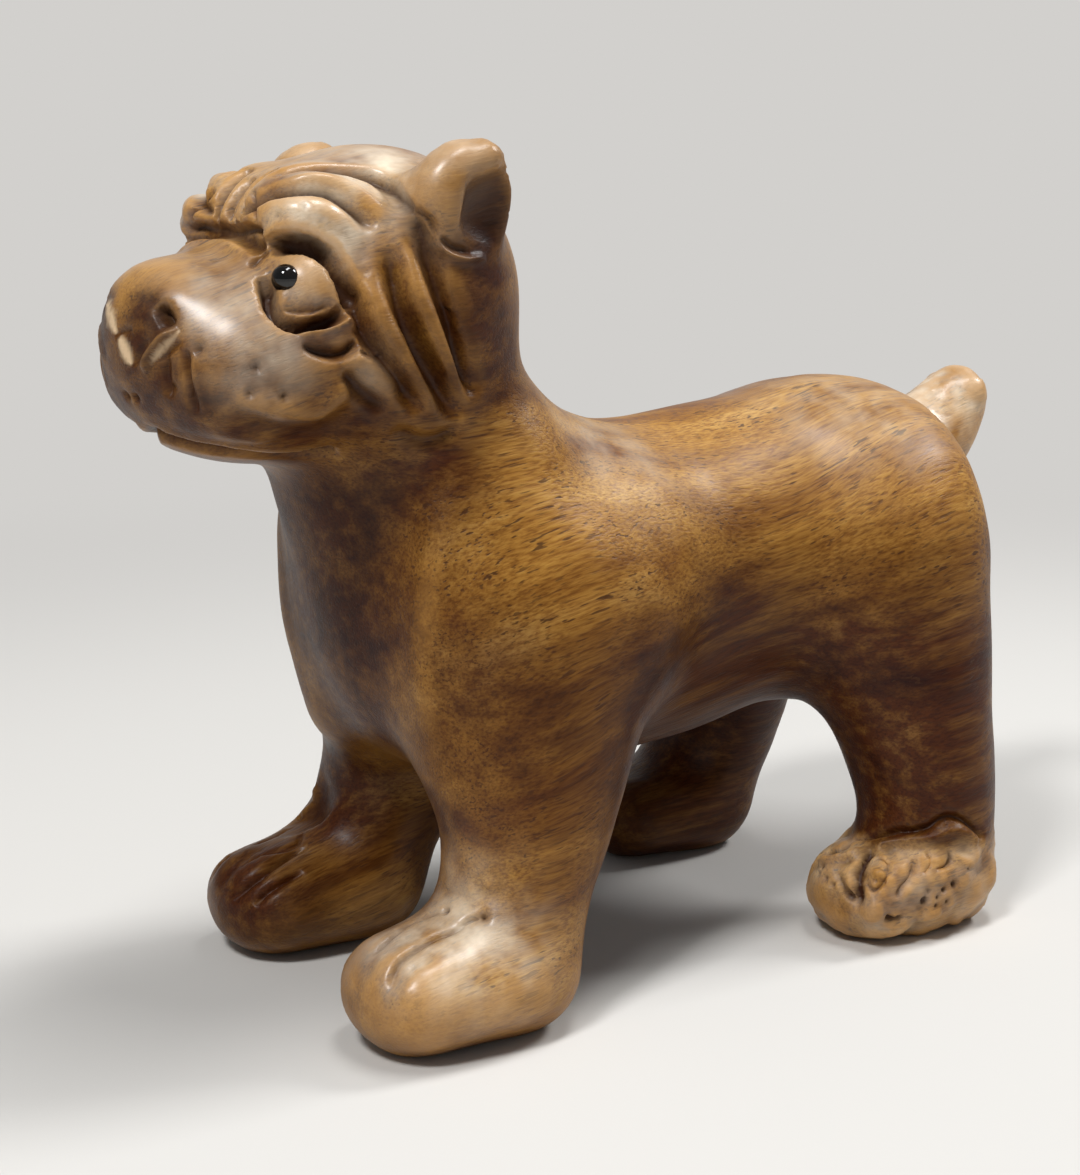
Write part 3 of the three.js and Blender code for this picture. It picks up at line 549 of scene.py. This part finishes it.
# Paler rubbed wood, which also paints a whitish sheen where highlights fall on the muzzle, brow, forehead,
# ear, tail, rump and paw.
rubbed_and_sheen = np.maximum(near(spots, [
    # The muzzle, the brow, the forehead, the eyeball and the bag
    (215, 305, 5, 0.55), (260, 355, 4, 0.6), (325, 208, 4.5, 0.9), (385, 170, 6, 0.9), (240, 195, 4, 0.4),
    (315, 275, 3, 0.6), (330, 334, 1.5, 0.2), (375, 366, 2, 0.5),
    # The ear, the tail, the withers and the rump
    (445, 150, 4, 0.7), (935, 385, 6, 0.9), (600, 440, 7, 0.3), (850, 400, 8, 0.3)]), in_knot * 0.35)
# The left front paw
rubbed_and_sheen = np.maximum(rubbed_and_sheen, near(spots, [
    (440, 945, 5.5, 1), (495, 955, 4.5, 0.7), (470, 900, 3, 0.5)], sides=[1]))
rubbed_and_sheen *= 1 - 0.85 * heartwood_and_shade

# Two small marks beside the right nostril are painted pale, and the edge of the left nostril's wing carries
# a painted highlight. Each is shaped like a leaf, from its first tip to its last.
pale_marks_and_highlight = near(spots, [
    (first[0] + (last[0] - first[0]) * along, first[1] + (last[1] - first[1]) * along,
     widest * (0.35 + 0.65 * math.sin(math.pi * along)), strength)
    for first, last, widest, strength in [
        ((106, 304), (115, 331), 0.85, 1), ((119, 338), (130, 362), 0.9, 1),
        ((179, 331), (148, 364), 0.5, 0.7)]
    for along in np.linspace(0, 1, 18)], sides=[1])
pale_marks_and_highlight = ramp(pale_marks_and_highlight, 0.35, 0.85)

polished = np.maximum(0.25 * on_head, near(spots, [
    # The muzzle, the brow, the crown, the ear and the eyeball
    (215, 302, 6, 1), (185, 262, 5, 0.8), (318, 212, 5, 1), (340, 160, 7, 0.9), (440, 160, 6, 0.9),
    (320, 285, 4, 0.8),
    # The paw, the tail and the rump
    (440, 950, 9, 0.8), (935, 385, 6, 0.8), (805, 440, 7, 0.7)]))
polished *= (1 - heartwood_and_shade) * np.clip(1 - 2.2 * stained, 0, 1)

finish_and_painted_light = {
    "polished": 0.05 + 0.9 * polished,
    "oil_and_shade_in_cuts": ramp(hollow, 0, 0.12) * (0.35 + 0.4 * in_knot) + stained * 0.75,
    "ridges_worn_and_lit": ramp(-hollow, 0.03, 0.07) * (1 - heartwood_and_shade),
    "rubbed_and_sheen": rubbed_and_sheen,
    "pale_marks_and_highlight": pale_marks_and_highlight,
    "heartwood_and_shade": heartwood_and_shade,
}
for name, values in finish_and_painted_light.items():
    layer = dog.data.attributes.new(name, "FLOAT", "POINT")
    layer.data.foreach_set("value", np.clip(values, 0, 1))
write_spots(dog.data, spots * MM)
shade_smooth(dog)
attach(dog, "root")
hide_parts(CARVING)


# The eyes

def polished_bead(side):
    """A round bead that is let into the eyeball a little past its middle."""
    bm = bmesh.new()
    place = Vector(EYE_CENTRE) + GAZE * BEAD_OUT
    bmesh.ops.create_icosphere(bm, subdivisions=5, radius=BEAD * MM,
                               matrix=Matrix.Translation(Vector((side * place.x, place.y, place.z)) * MM))
    return bm


beads = []
for node_name, side in BEADS.items():
    bead = mesh_piece("polished_" + node_name, polished_bead(side))
    shade_smooth(bead)
    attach(bead, "root")
    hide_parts(node_name)
    beads.append(bead)


# Materials

def linear(code):
    """An sRGB hex colour as linear red, green, blue and 1."""
    parts = [int(code[i:i + 2], 16) / 255 for i in (1, 3, 5)]
    return [c / 12.92 if c <= 0.04045 else ((c + 0.055) / 1.055) ** 2.4 for c in parts] + [1]


def node(tree, kind, links=None, values=None, stops=None, **settings):
    """Adds a node. `links` joins its inputs to other nodes' outputs, `values` sets its inputs, and `stops`
    are the places and colours of a colour ramp."""
    made = tree.nodes.new(kind)
    for name, value in settings.items():
        setattr(made, name, value)
    for key, value in (values or {}).items():
        made.inputs[key].default_value = value
    for key, output in (links or {}).items():
        tree.links.new(output, made.inputs[key])
    if stops:
        band = made.color_ramp
        while len(band.elements) < len(stops):
            band.elements.new(0.5)
        for stop, (place, code) in zip(band.elements, stops):
            stop.position = place
            stop.color = linear(code)
    return made.outputs


def oiled_hardwood():
    """Straight-grained tropical hardwood, carved by hand, sanded and oiled to a soft polish. It is golden
    brown with darker and redder bands along the grain, and fine dark dashes where the pores are cut open.
    Its colour also holds painted light: darker, redder wood low down and in shaded places that is partly
    heartwood and partly painted shade, dark oil and painted shade in the cuts, and paler, duller rubbed wood
    and ridges that carry painted sheen and highlights."""
    made = bpy.data.materials.new("oiled_hardwood")
    made.use_nodes = True
    tree = made.node_tree
    shader = tree.nodes["Principled BSDF"]
    place = node(tree, "ShaderNodeTexCoord")["Object"]
    # The grain climbs a little towards the rump, and wanders a few millimetres along the block.
    in_mm = node(tree, "ShaderNodeMapping", {"Vector": place},
                 {"Scale": (1000, 1000, 1000), "Rotation": (-0.16, 0, 0.05)})["Vector"]
    drift = node(tree, "ShaderNodeTexNoise", {"Vector": in_mm}, {"Scale": WANDER, "Detail": 1.0})["Color"]
    centred = node(tree, "ShaderNodeVectorMath", {0: drift}, {1: (0.5, 0.5, 0.5)},
                   operation="SUBTRACT")["Vector"]
    pushed = node(tree, "ShaderNodeVectorMath", {0: centred}, {1: (9, 9, 9)},
                  operation="MULTIPLY")["Vector"]
    grain = node(tree, "ShaderNodeVectorMath", {0: in_mm, 1: pushed}, operation="ADD")["Vector"]

    # Growth bands and fibres, long along the block
    lengthwise = node(tree, "ShaderNodeMapping", {"Vector": grain}, {"Scale": (1, 0.09, 1)})["Vector"]
    bands = node(tree, "ShaderNodeTexNoise", {"Vector": lengthwise},
                 {"Scale": BANDS, "Detail": 3.0, "Roughness": 0.55, "Distortion": 0.3})["Fac"]
    fibres = node(tree, "ShaderNodeTexNoise", {"Vector": lengthwise},
                  {"Scale": FIBRES, "Detail": 2.0, "Roughness": 0.6})["Fac"]
    wood = node(tree, "ShaderNodeValToRGB", {"Fac": bands}, stops=[
        (0.3, "#75451A"), (0.43, "#986928"), (0.55, "#B3843B"), (0.7, "#C79C57")])["Color"]
    streaks = node(tree, "ShaderNodeValToRGB", {"Fac": fibres}, stops=[
        (0.34, "#94694A"), (0.5, "#DCCDB8"), (0.68, "#FFFFFF")])["Color"]
    colour = node(tree, "ShaderNodeMix", {"A": wood, "B": streaks}, {"Factor": 0.68},
                  data_type="RGBA", blend_type="MULTIPLY")["Result"]

    # Darker, redder wood low on the sides, the legs, the chest and the head, partly heartwood and partly
    # painted shade
    heartwood_and_shade = node(tree, "ShaderNodeAttribute", attribute_name="heartwood_and_shade")["Fac"]
    drawn_out = node(tree, "ShaderNodeMapping", {"Vector": grain}, {"Scale": (1, 0.06, 1)})["Vector"]
    streaky = node(tree, "ShaderNodeTexNoise", {"Vector": drawn_out},
                   {"Scale": HEART_STREAKS, "Detail": 3.0})["Fac"]
    uneven = node(tree, "ShaderNodeMapRange", {"Value": streaky},
                  {"From Min": 0.3, "From Max": 0.7, "To Min": 0.8, "To Max": 1.2})["Result"]
    heart_and_shade = node(tree, "ShaderNodeMath", {0: heartwood_and_shade, 1: uneven},
                 operation="MULTIPLY", use_clamp=True)["Value"]
    colour = node(tree, "ShaderNodeMix", {"Factor": heart_and_shade, "A": colour}, {"B": linear("#6E4D3A")},
                  data_type="RGBA", blend_type="MULTIPLY")["Result"]

    # Pores are dark dashes, ten times as long as wide, in drifts.
    dashes = node(tree, "ShaderNodeMapping", {"Vector": grain}, {"Scale": (1, 0.1, 1)})["Vector"]
    cells = node(tree, "ShaderNodeTexNoise", {"Vector": dashes}, {"Scale": PORES, "Detail": 1.0})["Fac"]
    pores = node(tree, "ShaderNodeMapRange", {"Value": cells},
                 {"From Min": 0.6, "From Max": 0.68})["Result"]
    patchy = node(tree, "ShaderNodeTexNoise", {"Vector": lengthwise},
                  {"Scale": PORE_DRIFTS, "Detail": 2.0})["Fac"]
    many = node(tree, "ShaderNodeMapRange", {"Value": patchy},
                {"From Min": 0.38, "From Max": 0.6, "To Min": 0.25, "To Max": 0.85})["Result"]
    pored = node(tree, "ShaderNodeMath", {0: pores, 1: many}, operation="MULTIPLY")["Value"]
    colour = node(tree, "ShaderNodeMix", {"Factor": pored, "A": colour}, {"B": linear("#3E220E")},
                  data_type="RGBA")["Result"]

    # Paler wood that hands have rubbed, in blotches, which also carries painted sheen where highlights fall
    rubbed_and_sheen = node(tree, "ShaderNodeAttribute", attribute_name="rubbed_and_sheen")["Fac"]
    blotches = node(tree, "ShaderNodeTexNoise", {"Vector": grain},
                    {"Scale": BLOTCHES, "Detail": 3.0})["Fac"]
    blotches = node(tree, "ShaderNodeMapRange", {"Value": blotches},
                    {"From Min": 0.3, "From Max": 0.7, "To Min": 0.1, "To Max": 1.35})["Result"]
    rubbed_and_sheen = node(tree, "ShaderNodeMath", {0: rubbed_and_sheen, 1: blotches},
                  operation="MULTIPLY", use_clamp=True)["Value"]
    colour = node(tree, "ShaderNodeMix", {"Factor": rubbed_and_sheen, "A": colour}, {"B": linear("#E6D5BC")},
                  data_type="RGBA")["Result"]
    # Every ridge is a little paler, as wear and as a painted highlight along its crest.
    ridges = node(tree, "ShaderNodeAttribute", attribute_name="ridges_worn_and_lit")["Fac"]
    lighter = node(tree, "ShaderNodeMath", {0: ridges}, {1: 0.55}, operation="MULTIPLY")["Value"]
    colour = node(tree, "ShaderNodeMix", {"Factor": lighter, "A": colour}, {"B": linear("#C4914F")},
                  data_type="RGBA")["Result"]

    # Old oil and painted shade in the cuts, and pale marks beside the nose, with a painted highlight on a
    # nostril's wing
    dark = node(tree, "ShaderNodeAttribute", attribute_name="oil_and_shade_in_cuts")["Fac"]
    colour = node(tree, "ShaderNodeMix", {"Factor": dark, "A": colour}, {"B": linear("#341808")},
                  data_type="RGBA")["Result"]
    pale_marks_and_highlight = node(tree, "ShaderNodeAttribute", attribute_name="pale_marks_and_highlight")["Fac"]
    colour = node(tree, "ShaderNodeMix", {"Factor": pale_marks_and_highlight, "A": colour}, {"B": linear("#DFC19A")},
                  data_type="RGBA")["Result"]
    tree.links.new(colour, shader.inputs["Base Color"])

    sheen = node(tree, "ShaderNodeMapRange", {"Value": fibres},
                 {"From Min": 0.3, "From Max": 0.7, "To Min": 0.36, "To Max": 0.5})["Result"]
    tree.links.new(sheen, shader.inputs["Roughness"])
    shader.inputs["IOR"].default_value = 1.5
    shader.inputs["Specular IOR Level"].default_value = 0.15
    # Hands have polished the head, the paws and the tail more than the rest.
    polished = node(tree, "ShaderNodeAttribute", attribute_name="polished")["Fac"]
    tree.links.new(polished, shader.inputs["Coat Weight"])
    shader.inputs["Coat Roughness"].default_value = 0.3
    shader.inputs["Coat IOR"].default_value = 1.6

    # The fine ribs of the fibres, and the pores as pits
    ribbed = node(tree, "ShaderNodeBump", {"Height": fibres},
                  {"Strength": 0.4, "Distance": 0.12 * MM})["Normal"]
    pitted = node(tree, "ShaderNodeBump", {"Height": pored, "Normal": ribbed},
                  {"Strength": 0.3, "Distance": 0.06 * MM}, invert=True)["Normal"]
    tree.links.new(pitted, shader.inputs["Normal"])
    return made


def polished_horn():
    """Black horn or hard resin, turned round and polished to a wet gloss. It is almost even, with faint
    brown clouds a millimetre across, and the finest polishing haze."""
    made = bpy.data.materials.new("polished_horn")
    made.use_nodes = True
    tree = made.node_tree
    shader = tree.nodes["Principled BSDF"]
    place = node(tree, "ShaderNodeTexCoord")["Object"]
    in_mm = node(tree, "ShaderNodeMapping", {"Vector": place}, {"Scale": (1000, 1000, 1000)})["Vector"]
    clouds = node(tree, "ShaderNodeTexNoise", {"Vector": in_mm}, {"Scale": 1.2, "Detail": 3.0})["Fac"]
    colour = node(tree, "ShaderNodeValToRGB", {"Fac": clouds}, stops=[
        (0.4, "#060505"), (0.7, "#140E0A")])["Color"]
    tree.links.new(colour, shader.inputs["Base Color"])
    haze = node(tree, "ShaderNodeMapRange", {"Value": clouds}, {"To Min": 0.04, "To Max": 0.1})["Result"]
    tree.links.new(haze, shader.inputs["Roughness"])
    shader.inputs["IOR"].default_value = 1.56
    return made


dog.data.materials.append(oiled_hardwood())
horn = polished_horn()
for bead in beads:
    bead.data.materials.append(horn)


# The studio

def pale_paper():
    """Matt white card. Away from the dog it fades to the even tone of a lit backdrop, for the camera, for
    gloss and for glass alone."""
    made = bpy.data.materials.new("pale_paper")
    made.use_nodes = True
    tree = made.node_tree
    shader = tree.nodes["Principled BSDF"]
    shader.inputs["Base Color"].default_value = linear("#D3D1CD")
    shader.inputs["Roughness"].default_value = 0.9
    place = node(tree, "ShaderNodeTexCoord")["Object"]
    away = node(tree, "ShaderNodeVectorMath", {0: place}, operation="LENGTH")["Value"]
    share = node(tree, "ShaderNodeMapRange", {"Value": away}, {"From Min": 0.09, "From Max": 0.3},
                 interpolation_type="SMOOTHSTEP")["Result"]
    rays = node(tree, "ShaderNodeLightPath")
    looked = node(tree, "ShaderNodeMath", {0: rays["Is Camera Ray"], 1: rays["Is Glossy Ray"]},
                  operation="ADD", use_clamp=True)["Value"]
    looked = node(tree, "ShaderNodeMath", {0: looked, 1: rays["Is Transmission Ray"]},
                  operation="ADD", use_clamp=True)["Value"]
    factor = node(tree, "ShaderNodeMath", {0: share, 1: looked}, operation="MULTIPLY")["Value"]
    glow = node(tree, "ShaderNodeEmission",
                values={"Color": linear("#D2D0CD"), "Strength": 1.0})["Emission"]
    mixed = node(tree, "ShaderNodeMixShader", {"Fac": factor, 1: shader.outputs["BSDF"], 2: glow})["Shader"]
    tree.links.new(mixed, tree.nodes["Material Output"].inputs["Surface"])
    return made


def studio_floor():
    """A sheet that curves up behind the dog."""
    bm = bmesh.new()
    start = [bm.verts.new((-3, -2, 0)), bm.verts.new((3, -2, 0))]
    edge = bm.edges.new(start)
    bend = [(0, 0.3 * math.cos(a), 0.3 * math.sin(a)) for a in np.linspace(0.1, 1.5, 9)]
    for step in [(0, 4, 0)] + bend + [(0, 0, 4)]:
        grown = bmesh.ops.extrude_edge_only(bm, edges=[edge])["geom"]
        verts = [g for g in grown if isinstance(g, bmesh.types.BMVert)]
        edges = [g for g in grown if isinstance(g, bmesh.types.BMEdge)]
        edge = next(e for e in edges if all(v in verts for v in e.verts))
        bmesh.ops.translate(bm, vec=step, verts=verts)
    bmesh.ops.rotate(bm, cent=(0, 0, 0), matrix=Matrix.Rotation(HEADING, 3, "Z"), verts=bm.verts)
    bmesh.ops.recalc_face_normals(bm, faces=bm.faces)
    floor = mesh_piece("studio_floor", bm)
    shade_smooth(floor)
    floor.data.materials.append(pale_paper())


def soft_box(name, place, width, length, power):
    """A rectangular lamp that faces the dog."""
    light = bpy.data.lights.new(name, "AREA")
    light.shape = "RECTANGLE"
    light.size = width
    light.size_y = length
    light.energy = power
    box = bpy.data.objects.new(name, light)
    box.location = place
    box.rotation_euler = (LAMPS_FACE - Vector(place)).to_track_quat("-Z", "X").to_euler()
    bpy.context.scene.collection.objects.link(box)


studio_floor()
soft_box("overhead", (0.08, 0.05, 0.6), 0.1, 0.3, 1.45)
soft_box("window", (0.15, -0.32, 0.46), 0.1, 0.1, 1.9)
soft_box("behind", (0.08, 0.38, 0.4), 0.13, 0.13, 1.5)
world = bpy.data.worlds.new("studio_air")
world.use_nodes = True
air = world.node_tree.nodes["Background"].inputs
air["Color"].default_value = linear("#F2F4F7")
air["Strength"].default_value = 0.22
bpy.context.scene.world = world
bpy.context.scene.view_settings.view_transform = "Standard"

lens = bpy.data.cameras.new("camera")
lens.sensor_fit = "HORIZONTAL"
lens.sensor_width = SENSOR
lens.lens = SENSOR * FOCUS / PICTURE[0]
lens.clip_start = 0.01
lens.clip_end = 50
camera = bpy.data.objects.new("camera", lens)
camera.matrix_world = Matrix((
    (RIGHT.x, UP.x, -AHEAD.x, VIEWPOINT.x * MM),
    (RIGHT.y, UP.y, -AHEAD.y, VIEWPOINT.y * MM),
    (RIGHT.z, UP.z, -AHEAD.z, VIEWPOINT.z * MM),
    (0, 0, 0, 1),
))
bpy.context.scene.collection.objects.link(camera)
bpy.context.scene.camera = camera
